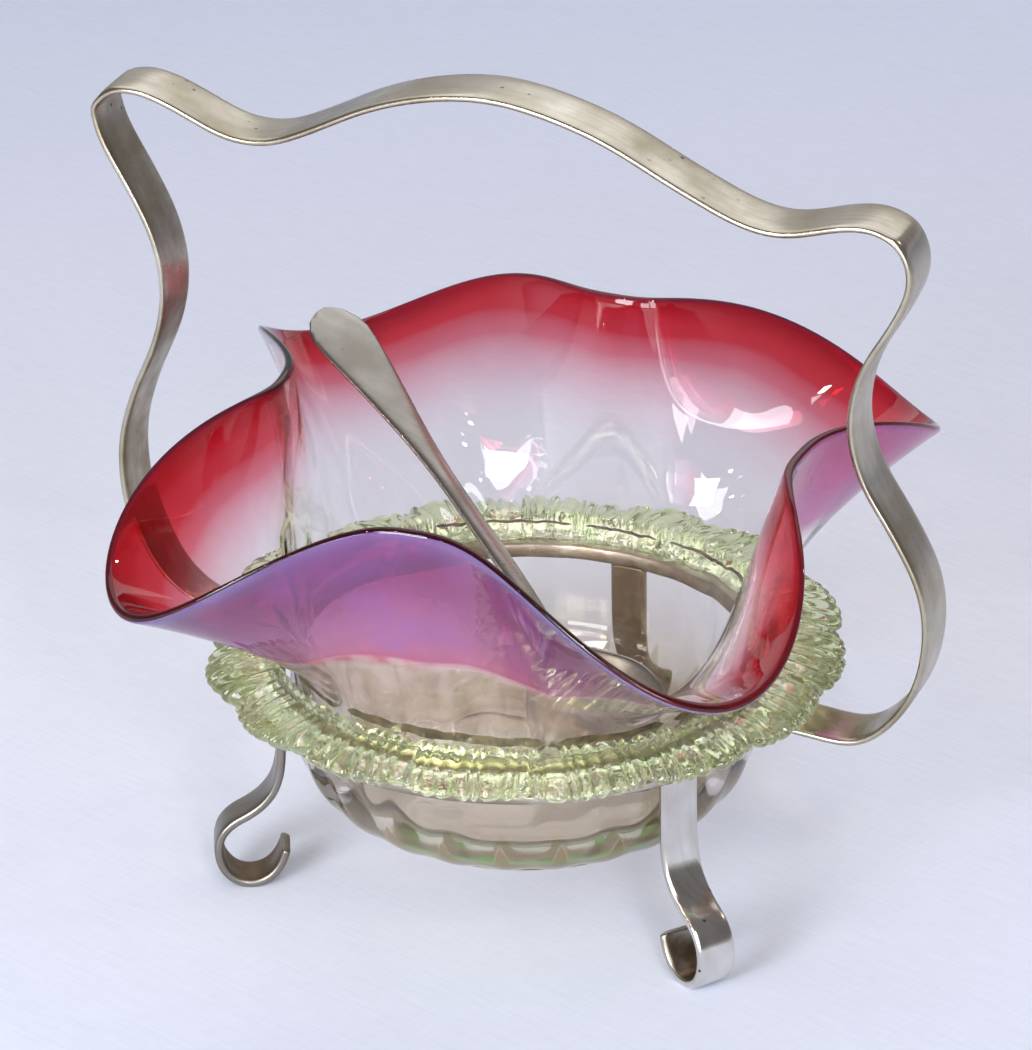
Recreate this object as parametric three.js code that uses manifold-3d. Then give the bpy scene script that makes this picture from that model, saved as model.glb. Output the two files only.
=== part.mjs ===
// A plated preserve dish: a three-legged stand with a bent strip handle,
// a ruffled glass dish with an applied glass collar, and its spoon.
// Lengths are in millimetres, +Z is up and the handle bends in the XZ plane.

import * as THREE from 'three';
import { mergeVertices } from 'three/addons/utils/BufferGeometryUtils.js';
import Module from 'manifold-3d';

const wasm = await Module();
wasm.setup();

// Clearances and shared steps
const seatGap = 0.3;
const dishRunningGap = 0.8;
const cutOverrun = 20;

// Support ring
const ringUnder = 45.5;
const ringInnerRadius = 47.4;
const ringBandWidth = 8.6;
const ringBandGauge = 1.8;
const ringBeadHeight = 3.2;
const ringBeadWidth = 3.2;

// Handle, one strip bent into a wave
const handleWidth = 12;
const handleGauge = 1.5;
const handleRound = 0.45;
const handleHalfSpan = 85;
const handleTop = 168.2;
const handleEndInset = 1.9;
const handleLevelRun = 3.5;

// Legs, three strips that end in a scroll
const legWidth = 8.2;
const legGauge = 1.9;
const legRound = 0.5;
const legs = [
  { name: 'leg_rear', azimuthDeg: 85.4, twistDeg: 0 },
  { name: 'leg_left', azimuthDeg: 205.4, twistDeg: 0 },
  { name: 'leg_right', azimuthDeg: 328.2, twistDeg: -5 },
];
const legInset = 1.4;
const scrollReach = 13.2;
const scrollHeight = 31;
const footWear = 0.15;

// Soft solder left in the corners
const solderLeg = 2.2;
const solderLength = 7;

// Glass dish
const dishBaseHeight = 17.8;
const dishBaseRadius = 33.5;
const dishWall = 2.4;
const dishFloorThickness = 4.4;
const waistDraw = 0.4;
const flareLength = 48.7;
const rimLobes = [
  { azimuthDeg: 48, tiltDeg: 31 },
  { azimuthDeg: 138, tiltDeg: 34 },
  { azimuthDeg: 232, tiltDeg: 32 },
  { azimuthDeg: 317, tiltDeg: 29 },
];
const rimFolds = [
  { azimuthDeg: 89, tiltDeg: 84 },
  { azimuthDeg: 188, tiltDeg: 87 },
  { azimuthDeg: 271, tiltDeg: 75 },
  { azimuthDeg: 357, tiltDeg: 75 },
];

// Applied glass collar
const collarGrip = 3.6;
const collarSkirt = 12.7;
const collarRise = 6.9;
const collarLobes = 16;
const collarLobeDepth = 1.9;

// Preserve spoon
const spoonLength = 127;
const spoonGauge = 1.5;
const spoonBowlWidth = 33;
const spoonBowlDepth = 6.2;
const spoonBowlLength = 42;
const spoonStemWidth = 4.3;
const spoonEndWidth = 15.5;
const spoonArch = 9;
const spoonAzimuthDeg = 148.6;
const spoonBowlX = 11.4;
const spoonBowlY = 9;
const spoonPitchDegs = [15, 50];

const ringOuterRadius = ringInnerRadius + ringBandWidth;
const dishBodyRadius = ringInnerRadius - dishRunningGap;
const waistRadius = dishBodyRadius - waistDraw;
const collarCrestRadius = dishBodyRadius + collarGrip;
const collarSeat = ringUnder + ringBandGauge + seatGap;
const waistHeight = collarSeat + collarRise;
const radians = THREE.MathUtils.degToRad;

function material(color, roughness, metalness, opacity = 1) {
  return new THREE.MeshStandardMaterial({
    color, roughness, metalness, opacity, transparent: opacity < 1,
  });
}

const agedSilver = () => material(0xb3ac98, 0.32, 1);
const dullSolder = () => material(0x8d8878, 0.5, 1);
const spoonSilver = () => material(0xbdb6a4, 0.28, 1);
const cranberryGlass = () => material(0xb5355a, 0.05, 0, 0.6);
const paleGreenGlass = () => material(0xc3cf8a, 0.1, 0, 0.7);

function namedMesh(name, geometry, finish) {
  const mesh = new THREE.Mesh(geometry, finish);
  mesh.name = name;
  return mesh;
}

// A closed body from rings of points: `rings` all have as many points as the
// first. With `loop` the last ring joins the first; otherwise the ends are capped.
function skin(rings, loop) {
  const count = rings[0].length;
  const positions = rings.flat().flatMap((p) => [p.x, p.y, p.z]);
  const index = [];
  const last = loop ? rings.length : rings.length - 1;
  for (let i = 0; i < last; i += 1) {
    const next = (i + 1) % rings.length;
    for (let j = 0; j < count; j += 1) {
      const k = (j + 1) % count;
      index.push(i * count + j, next * count + j, next * count + k);
      index.push(i * count + j, next * count + k, i * count + k);
    }
  }
  if (!loop) {
    const end = (rings.length - 1) * count;
    for (let j = 1; j < count - 1; j += 1) {
      index.push(0, j, j + 1);
      index.push(end, end + j + 1, end + j);
    }
  }
  return outwardGeometry(positions, index);
}

// Turns the faces over when the body's volume comes out negative.
function outwardGeometry(positions, index) {
  let volume = 0;
  const a = new THREE.Vector3();
  const b = new THREE.Vector3();
  const c = new THREE.Vector3();
  for (let i = 0; i < index.length; i += 3) {
    a.fromArray(positions, index[i] * 3);
    b.fromArray(positions, index[i + 1] * 3);
    c.fromArray(positions, index[i + 2] * 3);
    volume += a.dot(b.cross(c));
  }
  if (volume < 0) {
    for (let i = 0; i < index.length; i += 3) {
      [index[i + 1], index[i + 2]] = [index[i + 2], index[i + 1]];
    }
  }
  const geometry = new THREE.BufferGeometry();
  geometry.setAttribute('position', new THREE.Float32BufferAttribute(positions, 3));
  geometry.setIndex(index);
  return geometry;
}

function toManifold(geometry) {
  const bare = geometry.clone();
  bare.deleteAttribute('normal');
  bare.deleteAttribute('uv');
  const merged = mergeVertices(bare);
  return new wasm.Manifold(new wasm.Mesh({
    numProp: 3,
    vertProperties: new Float32Array(merged.attributes.position.array),
    triVerts: new Uint32Array(merged.index.array),
  }));
}

function toGeometry(solid) {
  const mesh = solid.getMesh();
  const geometry = new THREE.BufferGeometry();
  geometry.setAttribute('position', new THREE.BufferAttribute(mesh.vertProperties, 3));
  geometry.setIndex(new THREE.BufferAttribute(mesh.triVerts, 1));
  return geometry;
}

// A flat strip swept along a path in the XZ plane, its width along Y.
function bentStrip(points, width, gauge, round, steps) {
  const path = new THREE.CatmullRomCurve3(
    points.map(([x, z]) => new THREE.Vector3(x, 0, z)), false, 'centripetal',
  );
  const half = gauge / 2;
  const side = width / 2;
  const section = [
    [half, side - round], [half - round, side], [round - half, side], [-half, side - round],
    [-half, round - side], [round - half, -side], [half - round, -side], [half, round - side],
  ];
  const rings = [];
  for (let i = 0; i <= steps; i += 1) {
    const centre = path.getPointAt(i / steps);
    const along = path.getTangentAt(i / steps);
    const out = new THREE.Vector3(along.z, 0, -along.x);
    rings.push(section.map(([across, y]) => (
      centre.clone().addScaledVector(out, across).setY(y)
    )));
  }
  return skin(rings, false);
}

// Support ring: a flat band with a half-round bead along its inner edge.
function supportRing() {
  const top = ringUnder + ringBandGauge;
  const bead = ringBeadWidth / 2;
  const profile = [
    [ringInnerRadius, ringUnder],
    [ringOuterRadius, ringUnder],
    [ringOuterRadius, top],
    [ringInnerRadius + ringBeadWidth, top],
  ];
  const beadSteps = 4;
  const beadRise = ringBeadHeight - ringBandGauge;
  for (let i = 1; i <= beadSteps; i += 1) {
    const angle = (Math.PI * i) / beadSteps;
    profile.push([
      ringInnerRadius + bead + bead * Math.cos(angle),
      top + beadRise * Math.sin(angle),
    ]);
  }
  const ringSteps = 72;
  const rings = [];
  for (let i = 0; i < ringSteps; i += 1) {
    rings.push(profile.map(([r, z]) => polar(r, (2 * Math.PI * i) / ringSteps, z)));
  }
  return namedMesh('support_ring', skin(rings, true), agedSilver());
}

function polar(radius, angle, z) {
  return new THREE.Vector3(radius * Math.cos(angle), radius * Math.sin(angle), z);
}

// Handle: the strip lies level under the ring and a little past it, and then
// rises: [share of the way out to the half span, share of the rise].
const rightFootShares = [[0.2, -0.006], [0.45, -0.003], [0.7, 0.042], [0.89, 0.11]];
const leftFootShares = [[0.15, -0.005], [0.4, 0.004], [0.62, 0.048], [0.81, 0.13]];

// The wave between the feet: [share of the half span, share of the rise].
const handleShares = [
  [0.99, 0.2], [0.975, 0.28], [0.91, 0.37], [0.835, 0.455], [0.805, 0.545], [0.83, 0.635],
  [0.903, 0.725], [0.943, 0.795], [0.922, 0.852], [0.848, 0.878], [0.745, 0.865],
  [0.65, 0.846], [0.56, 0.852], [0.407, 0.897], [0.2, 0.965], [-0.03, 1],
  [-0.2, 0.987], [-0.34, 0.955], [-0.47, 0.909], [-0.58, 0.876], [-0.68, 0.876],
  [-0.8, 0.911], [-0.9, 0.934], [-0.967, 0.93], [-1.012, 0.896], [-0.998, 0.848],
  [-0.937, 0.772], [-0.876, 0.685], [-0.855, 0.596], [-0.88, 0.506], [-0.94, 0.412],
  [-0.98, 0.32], [-0.98, 0.224],
];

function handleFoot(side, shares, level, rise) {
  const bend = ringOuterRadius + handleLevelRun;
  const risen = shares.map(([out, up]) => [bend + out * (handleHalfSpan - bend), up * rise]);
  const foot = [[ringInnerRadius + handleEndInset, 0], [bend, 0], ...risen];
  return foot.map(([x, z]) => [side * x, level + z]);
}

function carryingHandle() {
  const level = ringUnder - seatGap - handleGauge / 2;
  const rise = handleTop - handleGauge / 2 - level;
  const points = [
    ...handleFoot(1, rightFootShares, level, rise),
    ...handleShares.map(([across, up]) => [across * handleHalfSpan, level + up * rise]),
    ...handleFoot(-1, leftFootShares, level, rise).reverse(),
  ];
  const steps = 88;
  const strip = bentStrip(points, handleWidth, handleGauge, handleRound, steps);
  return namedMesh('carrying_handle', strip, agedSilver());
}

// Leg: the straight shank, then the scroll as [share of reach, share of height].
const scrollShares = [
  [0, 1], [0.03, 0.84], [0.12, 0.7], [0.3, 0.59], [0.52, 0.515], [0.76, 0.455],
  [0.94, 0.37], [1, 0.26], [0.95, 0.13], [0.76, 0.03], [0.53, 0], [0.28, 0.03],
  [0.1, 0.11], [0.02, 0.185], [-0.02, 0.24],
];
const shankX = ringInnerRadius + legInset;

// Turns a leg's geometry about its own shank, then round the ring to its place.
function placeAtLeg(geometry, { azimuthDeg, twistDeg }) {
  geometry.translate(-shankX, 0, 0);
  geometry.rotateZ(radians(twistDeg));
  geometry.translate(shankX, 0, 0);
  return geometry.rotateZ(radians(azimuthDeg));
}

function scrollLeg(leg) {
  const bottom = legGauge / 2 - footWear;
  const points = [[shankX, ringUnder - seatGap]];
  scrollShares.forEach(([out, up]) => {
    points.push([shankX + out * scrollReach, bottom + up * (scrollHeight - bottom)]);
  });
  const steps = 40;
  const strip = toManifold(bentStrip(points, legWidth, legGauge, legRound, steps));
  const floor = new THREE.BoxGeometry(
    4 * scrollReach, 2 * legWidth, cutOverrun,
  ).translate(shankX, 0, -cutOverrun / 2);
  const geometry = toGeometry(strip.subtract(toManifold(floor)));
  return namedMesh(leg.name, placeAtLeg(geometry, leg), agedSilver());
}

// A triangular fillet of solder across a strip: it runs out along X from the
// face it lies on and up or down along Z by `rise`.
function solderWedge(x, z, out, rise) {
  const corner = new THREE.Shape();
  corner.moveTo(0, 0);
  corner.lineTo(out, 0);
  corner.lineTo(0, rise);
  corner.closePath();
  const wedge = new THREE.ExtrudeGeometry(corner, { depth: solderLength, bevelEnabled: false });
  wedge.rotateX(Math.PI / 2);
  return wedge.translate(x, solderLength / 2, z);
}

function legSolder(leg) {
  const outerFace = shankX + legGauge / 2 + seatGap;
  const wedge = solderWedge(outerFace, ringUnder - seatGap, solderLeg, -solderLeg);
  return namedMesh(`solder_${leg.name}`, placeAtLeg(wedge, leg), dullSolder());
}

function handleSolder(name, angle) {
  const wedge = solderWedge(ringOuterRadius + seatGap, ringUnder, solderLeg, ringBandGauge);
  return namedMesh(name, wedge.rotateZ(angle), dullSolder());
}

// Rim: the flare is as long all round, and stands up at the folds and lies out
// at the lobes. Eight keys, lobe and fold in turn, are joined by a cosine wave
// that leaves the folds slowly.
const rimKeys = rimLobes.flatMap((lobe, i) => [
  { ...lobe, outward: true },
  { ...rimFolds[i], outward: false },
]);
const foldEasing = 1.3;

function flareTiltDeg(angle) {
  const turn = 360;
  const first = rimKeys[0].azimuthDeg;
  const deg = THREE.MathUtils.euclideanModulo(THREE.MathUtils.radToDeg(angle) - first, turn) + first;
  let i = rimKeys.length - 1;
  while (rimKeys[i].azimuthDeg > deg) i -= 1;
  const from = rimKeys[i];
  const to = rimKeys[(i + 1) % rimKeys.length];
  const span = THREE.MathUtils.euclideanModulo(to.azimuthDeg - from.azimuthDeg, turn);
  const wave = (1 - Math.cos((Math.PI * (deg - from.azimuthDeg)) / span)) / 2;
  const [lobe, fold] = from.outward ? [from, to] : [to, from];
  const lobeShare = from.outward ? 1 - wave : wave;
  return fold.tiltDeg + (lobe.tiltDeg - fold.tiltDeg) * lobeShare ** foldEasing;
}

// Lower body of the dish, outside: [share of the way from the base's radius to
// the body's, share of the height from the base to the waist].
const bodyShares = [
  [-0.03, 0], [0, 0.015], [0.4, 0.09], [0.7, 0.19], [0.9, 0.33], [0.985, 0.5], [1, 0.7],
];
const flareShares = { out: 0.4, up: 0.52 };
const flareSteps = 6;

// The outside of the wall in the half plane at `angle`, from base to rim.
function outerWall(angle) {
  const points = bodyShares.map(([out, up]) => new THREE.Vector2(
    dishBaseRadius + out * (dishBodyRadius - dishBaseRadius),
    dishBaseHeight + up * (waistHeight - dishBaseHeight),
  ));
  const tilt = radians(flareTiltDeg(angle));
  const waist = new THREE.Vector2(waistRadius, waistHeight);
  const way = new THREE.Vector2(Math.cos(tilt), Math.sin(tilt)).multiplyScalar(flareLength);
  const bend = new THREE.Vector2(
    waist.x + flareShares.out * way.x,
    waist.y + flareShares.up * way.y,
  );
  const flare = new THREE.QuadraticBezierCurve(waist, bend, way.add(waist));
  return points.concat(flare.getPoints(flareSteps));
}

// The inside of the wall, offset by the glass's thickness, from rim to floor.
function innerWall(outer) {
  const inner = [];
  for (let i = outer.length - 1; i > 1; i -= 1) {
    const before = outer[i - 1];
    const after = outer[Math.min(i + 1, outer.length - 1)];
    const along = after.clone().sub(before).normalize();
    inner.push(new THREE.Vector2(
      outer[i].x - along.y * dishWall,
      outer[i].y + along.x * dishWall,
    ));
  }
  const floor = dishBaseHeight + dishFloorThickness;
  const kept = inner.filter((p) => p.y > floor + dishWall / 2);
  const corner = dishBaseRadius - dishWall;
  kept.push(new THREE.Vector2(corner, floor));
  return kept;
}

function dishSection(angle) {
  const outer = outerWall(angle);
  const inner = innerWall(outer);
  const lip = outer[outer.length - 1];
  const lipInner = inner[0];
  const along = lip.clone().sub(outer[outer.length - 2]).normalize();
  const crown = lip.clone().add(lipInner).multiplyScalar(1 / 2)
    .addScaledVector(along, dishWall / 2);
  return [...outer, crown, ...inner];
}

function glassDish() {
  const turns = 76;
  const sections = [];
  for (let i = 0; i < turns; i += 1) {
    const angle = (2 * Math.PI * i) / turns;
    sections.push(dishSection(angle).map((p) => polar(p.x, angle, p.y)));
  }
  const count = sections[0].length;
  const positions = sections.flat().flatMap((p) => [p.x, p.y, p.z]);
  const under = turns * count;
  positions.push(0, 0, dishBaseHeight, 0, 0, dishBaseHeight + dishFloorThickness);
  const index = [];
  for (let i = 0; i < turns; i += 1) {
    const here = i * count;
    const next = ((i + 1) % turns) * count;
    index.push(under, next, here);
    for (let j = 0; j < count - 1; j += 1) {
      index.push(here + j, next + j, next + j + 1, here + j, next + j + 1, here + j + 1);
    }
    index.push(under + 1, here + count - 1, next + count - 1);
  }
  return namedMesh('glass_dish', outwardGeometry(positions, index), cranberryGlass());
}

// Collar section: [share of the skirt from the crest to the outer edge, share
// of the height from its seat on the ring's band to its top]. Shares below
// zero lie inside the crest, where the collar grips the dish.
const collarShares = [
  [-1, 0.3], [-0.08, 0.22], [0.06, 0], [0.5, 0.1], [0.92, 0.42], [1, 0.62],
  [0.9, 0.86], [0.48, 0.96], [0, 1], [-0.85, 0.7],
];

function frillCollar() {
  const inner = dishBodyRadius + seatGap;
  const stepsPerLobe = 6;
  const steps = collarLobes * stepsPerLobe;
  const rings = [];
  for (let i = 0; i < steps; i += 1) {
    const swell = Math.abs(Math.sin((Math.PI * i) / stepsPerLobe));
    const skirt = collarSkirt - collarLobeDepth * (1 - Math.sqrt(swell));
    const angle = (2 * Math.PI * i) / steps;
    rings.push(collarShares.map(([out, up]) => {
      const span = out < 0 ? collarCrestRadius - inner : skirt;
      return polar(collarCrestRadius + out * span, angle, collarSeat + up * collarRise);
    }));
  }
  return namedMesh('frill_collar', skin(rings, true), paleGreenGlass());
}

// Inside walls of the dish in turn round the axis, for seating the spoon.
const seatTurns = 240;
const insideWalls = Array.from({ length: seatTurns }, (_, i) => (
  innerWall(outerWall((2 * Math.PI * i) / seatTurns)).reverse()
));

function dishInsideHeight(x, y) {
  const radius = Math.hypot(x, y);
  const turn = Math.atan2(y, x) / (2 * Math.PI);
  const inner = insideWalls[(Math.round(turn * seatTurns) + seatTurns) % seatTurns];
  const found = inner.findIndex((p) => p.x > radius);
  if (found < 0) return inner[inner.length - 1].y;
  if (found === 0) return inner[0].y;
  const a = inner[found - 1];
  const b = inner[found];
  return a.y + ((b.y - a.y) * (radius - a.x)) / (b.x - a.x);
}

// Spoon along its length: [share of the length, share of the arch]. The bowl's
// lowest point is the one at `bowlLowShare`.
const bowlLowShare = 0.14;
const spoonLineShares = [
  [0, 0.52], [0.05, 0.16], [bowlLowShare, 0], [0.23, 0.22], [0.31, 0.64], [0.38, 0.78],
  [0.6, 0.82], [0.82, 0.8], [1, 0.66],
];
const bowlTaperShare = 0.1;
const shoulderShare = 0.36;
const stemSwellShares = [0.4, 1.05];
const roundEndShare = 0.11;
const edgeThinShare = 0.7;

function spoonHalfWidth(s) {
  const bowlShare = spoonBowlLength / spoonLength;
  const stem = spoonStemWidth / 2;
  if (s < bowlShare) {
    const t = s / bowlShare;
    const oval = Math.sqrt(Math.max(0, 1 - (2 * t - 1) ** 2)) * (1 - bowlTaperShare * t);
    const shoulder = THREE.MathUtils.smoothstep(1 - t, 0, shoulderShare);
    const neck = t > 1 / 2 ? stem : 0;
    return Math.max((oval * shoulder * spoonBowlWidth) / 2, neck);
  }
  const t = (s - bowlShare) / (1 - bowlShare);
  const swell = THREE.MathUtils.smoothstep(t, ...stemSwellShares);
  const width = stem + (spoonEndWidth / 2 - stem) * swell;
  const tip = THREE.MathUtils.clamp((1 - t) / roundEndShare, 0, 1);
  return width * Math.sqrt(Math.max(0, 1 - (1 - tip) ** 2));
}

// Spoon rings in its own frame: X from bowl tip to stem end, Z up.
function spoonRings() {
  const line = new THREE.CatmullRomCurve3(spoonLineShares.map(([along, up]) => (
    new THREE.Vector3(along * spoonLength, 0, up * spoonArch)
  )));
  const bowlShare = spoonBowlLength / spoonLength;
  const across = 6;
  const steps = 32;
  const least = spoonGauge / 4;
  const rings = [];
  for (let i = 0; i <= steps; i += 1) {
    const crowded = (1 - Math.cos((Math.PI * i) / steps)) / 2;
    const s = (i / steps + crowded) / 2;
    const centre = line.getPointAt(s);
    const along = line.getTangentAt(s);
    const up = new THREE.Vector3(-along.z, 0, along.x);
    const half = Math.max(spoonHalfWidth(centre.x / spoonLength), least);
    const bowl = Math.max(0, Math.sin((Math.PI * centre.x) / spoonLength / bowlShare));
    const dish = centre.x < spoonBowlLength ? (spoonBowlDepth * bowl * 2 * half) / spoonBowlWidth : 0;
    const upper = [];
    const lower = [];
    for (let j = 0; j <= across; j += 1) {
      const v = (2 * j) / across - 1;
      const lift = dish * v * v;
      const body = (spoonGauge / 2) * Math.sqrt(1 - edgeThinShare * v * v);
      const base = centre.clone().addScaledVector(up, lift).setY(v * half);
      upper.push(base.clone().addScaledVector(up, body));
      lower.unshift(base.clone().addScaledVector(up, -body));
    }
    rings.push([...upper, ...lower]);
  }
  return rings;
}

function placeSpoon(points, pitch) {
  const heading = radians(spoonAzimuthDeg);
  const spin = new THREE.Matrix4().makeRotationZ(heading);
  const tilt = new THREE.Matrix4().makeRotationY(-pitch);
  const away = new THREE.Matrix4().makeTranslation(-bowlLowShare * spoonLength, 0, 0);
  const turned = points.map((p) => p.clone().applyMatrix4(away).applyMatrix4(tilt).applyMatrix4(spin));
  return turned.map((p) => p.add(new THREE.Vector3(spoonBowlX, spoonBowlY, 0)));
}

// Least clearance of the spoon's points over the dish's inside.
function clearance(points) {
  return Math.min(...points.map((p) => p.z - dishInsideHeight(p.x, p.y)));
}

// The bowl rests on the dish's floor; the pitch is the least that keeps the
// stem off the flared wall once the whole spoon is lowered to its seat.
function seatedSpoon(rings) {
  const flat = rings.flat();
  const bowlPoints = flat.filter((p) => p.x < spoonBowlLength);
  const stemPoints = flat.filter((p) => p.x >= spoonBowlLength);
  let [low, high] = spoonPitchDegs.map(radians);
  const halvings = 24;
  for (let i = 0; i < halvings; i += 1) {
    const pitch = (low + high) / 2;
    const drop = clearance(placeSpoon(bowlPoints, pitch)) - seatGap;
    const room = clearance(placeSpoon(stemPoints, pitch)) - drop - seatGap;
    if (room > 0) high = pitch;
    else low = pitch;
  }
  const drop = clearance(placeSpoon(bowlPoints, high)) - seatGap;
  return rings.map((ring) => placeSpoon(ring, high).map((p) => p.setZ(p.z - drop)));
}

function preserveSpoon() {
  return namedMesh('preserve_spoon', skin(seatedSpoon(spoonRings()), false), spoonSilver());
}

const stand = new THREE.Group();
stand.add(supportRing(), carryingHandle());
legs.forEach((leg) => stand.add(scrollLeg(leg)));
legs.forEach((leg) => stand.add(legSolder(leg)));
stand.add(handleSolder('solder_handle_right', 0), handleSolder('solder_handle_left', Math.PI));

const dish = new THREE.Group();
dish.add(glassDish(), frillCollar());

const preserveDish = new THREE.Group();
preserveDish.add(stand, dish, preserveSpoon());

// The origin is the middle of the whole object's footprint, on the floor.
const reach = new THREE.Box3().setFromObject(preserveDish);
const middle = reach.getCenter(new THREE.Vector3());
preserveDish.position.set(-middle.x, -middle.y, -reach.min.z);

export default preserveDish;
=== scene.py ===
import math

import bmesh
import bpy
import numpy as np
from mathutils import Matrix, Vector, noise

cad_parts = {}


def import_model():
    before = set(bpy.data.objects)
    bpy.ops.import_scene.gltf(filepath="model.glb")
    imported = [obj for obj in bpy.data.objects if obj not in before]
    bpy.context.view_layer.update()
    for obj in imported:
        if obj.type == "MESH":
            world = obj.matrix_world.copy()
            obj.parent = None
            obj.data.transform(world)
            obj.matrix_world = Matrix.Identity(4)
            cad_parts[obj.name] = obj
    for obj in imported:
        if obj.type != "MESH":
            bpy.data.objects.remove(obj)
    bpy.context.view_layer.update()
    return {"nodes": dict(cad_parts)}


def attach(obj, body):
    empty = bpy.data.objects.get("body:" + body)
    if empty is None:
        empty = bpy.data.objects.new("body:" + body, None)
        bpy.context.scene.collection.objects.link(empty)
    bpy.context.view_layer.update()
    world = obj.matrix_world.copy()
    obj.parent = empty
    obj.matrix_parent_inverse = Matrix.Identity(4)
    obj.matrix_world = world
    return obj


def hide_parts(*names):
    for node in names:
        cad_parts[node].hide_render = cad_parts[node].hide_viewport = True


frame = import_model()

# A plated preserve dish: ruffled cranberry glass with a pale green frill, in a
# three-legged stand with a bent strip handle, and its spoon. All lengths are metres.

MM = 0.001
TURN = 2 * math.pi

# Without a seed Blender starts this noise from the clock, and no two runs are alike
NOISE_SEED = 5
noise.seed_set(NOISE_SEED)

# The way from the camera's side over the floor, and the angle of that side
CAMERA_AZIMUTH = math.radians(22.195)
LEVEL_AWAY = (-math.sin(CAMERA_AZIMUTH), math.cos(CAMERA_AZIMUTH))
FRONT_ANGLE = CAMERA_AZIMUTH - math.pi / 2


# Sizes read from the frame

LEVEL_SLACK = 0.01 * MM
NEAR_AXIS = 1 * MM


def points(node):
    """The CAD node's points."""
    mesh = frame["nodes"][node].data
    flat = np.empty(len(mesh.vertices) * 3, dtype=np.float32)
    mesh.vertices.foreach_get("co", flat)
    return flat.reshape(-1, 3).astype(float)


ring_points = points("support_ring")
axis_x, axis_y = (ring_points.min(axis=0) + ring_points.max(axis=0))[:2] / 2


def reach(pts):
    """Distance of each point from the ring's upright axis."""
    return np.hypot(pts[:, 0] - axis_x, pts[:, 1] - axis_y)


def bearing(pts):
    """Angle of each point round the ring's upright axis."""
    return np.arctan2(pts[:, 1] - axis_y, pts[:, 0] - axis_x)


ring_inner = reach(ring_points).min()
dish_points = points("glass_dish")
collar_points = points("frill_collar")
base_height = dish_points[:, 2].min()
floor_height = dish_points[reach(dish_points) < NEAR_AXIS][:, 2].max()
base_radius = reach(dish_points[dish_points[:, 2] < base_height + LEVEL_SLACK]).max()
collar_seat = collar_points[:, 2].min()
collar_top = collar_points[:, 2].max()
collar_reach = reach(collar_points).max()
crest_reach = reach(collar_points[collar_points[:, 2] > collar_top - LEVEL_SLACK]).mean()

RUNNING_GAP = 0.8 * MM
WALL = 2.4 * MM
LIP_WALL = 2.1 * MM
WAIST_HEIGHT = collar_top
WAIST_DRAW = 0.4 * MM
body_radius = ring_inner - RUNNING_GAP


# Mesh helpers

MERGE_DISTANCE = 0.002 * MM
DISH_MERGE_DISTANCE = 0.001 * MM


def resample(values, count):
    """A closed line of values at `count` even steps, by its Fourier series."""
    return np.fft.irfft(np.fft.rfft(values), count) * count / len(values)


def catmull(controls, per_span, closed=False):
    """Points of a smooth line through the control points."""
    pts = np.asarray(controls, dtype=float)
    n = len(pts)
    out = []
    for i in range(n if closed else n - 1):
        if closed:
            a, b, c, d = (pts[(i + k) % n] for k in (-1, 0, 1, 2))
        else:
            a, b = pts[max(i - 1, 0)], pts[i]
            c, d = pts[i + 1], pts[min(i + 2, n - 1)]
        for t in np.arange(per_span) / per_span:
            out.append(
                (2 * b + (c - a) * t + (2 * a - 5 * b + 4 * c - d) * t * t
                 + (3 * b - a - 3 * c + d) * t ** 3) / 2
            )
    if not closed:
        out.append(pts[-1])
    return np.array(out)


def smoothstep(low, high, x):
    """0 below low, 1 above high, and a smooth rise between them."""
    t = np.clip((np.asarray(x, dtype=float) - low) / (high - low), 0, 1)
    return t * t * (3 - 2 * t)


def turned(angles, radii, heights):
    """3-D points from angle, radius and height, all arrays of one shape."""
    return np.stack([
        axis_x + radii * np.cos(angles), axis_y + radii * np.sin(angles), heights,
    ], axis=-1)


def section_normals(sections):
    """Unit normals of sections given as radius and height, to the left of their run."""
    along = np.gradient(sections, axis=1)
    along /= np.linalg.norm(along, axis=2, keepdims=True)
    return np.stack([-along[..., 1], along[..., 0]], axis=-1)


def grid_faces(rows, columns, wrap_columns):
    """Quads of a grid whose rows run round the axis and close on themselves."""
    faces = []
    last = columns if wrap_columns else columns - 1
    for i in range(rows):
        k = (i + 1) % rows
        for j in range(last):
            m = (j + 1) % columns
            faces.append((i * columns + j, k * columns + j, k * columns + m, i * columns + m))
    return faces


def place_object(name, data):
    obj = bpy.data.objects.new(name, data)
    bpy.context.scene.collection.objects.link(obj)
    return obj


def new_piece(name, mesh, body):
    """A smooth-shaded piece that rides on a body."""
    obj = place_object(name, mesh)
    mesh.shade_smooth()
    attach(obj, body)
    return obj


def face_outwards(mesh, merge_distance=None):
    """Turns all faces outwards, once points nearer than merge_distance are joined."""
    bm = bmesh.new()
    bm.from_mesh(mesh)
    if merge_distance:
        bmesh.ops.remove_doubles(bm, verts=bm.verts, dist=merge_distance)
    bmesh.ops.recalc_face_normals(bm, faces=bm.faces)
    bm.to_mesh(mesh)
    bm.free()


def grid_piece(name, grid, wrap_columns, body):
    """A piece from a grid of points, whose rows run round the axis."""
    rows, columns = grid.shape[:2]
    mesh = bpy.data.meshes.new(name)
    verts = [tuple(v) for v in grid.reshape(-1, 3)]
    mesh.from_pydata(verts, [], grid_faces(rows, columns, wrap_columns))
    mesh.update()
    face_outwards(mesh)
    return new_piece(name, mesh, body)


def cad_bmesh(node):
    """The CAD node's mesh, its triangles joined at their shared points."""
    bm = bmesh.new()
    bm.from_mesh(frame["nodes"][node].data)
    bmesh.ops.remove_doubles(bm, verts=bm.verts, dist=MERGE_DISTANCE)
    return bm


def mesh_from(bm, name):
    mesh = bpy.data.meshes.new(name)
    bm.to_mesh(mesh)
    bm.free()
    return mesh


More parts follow.
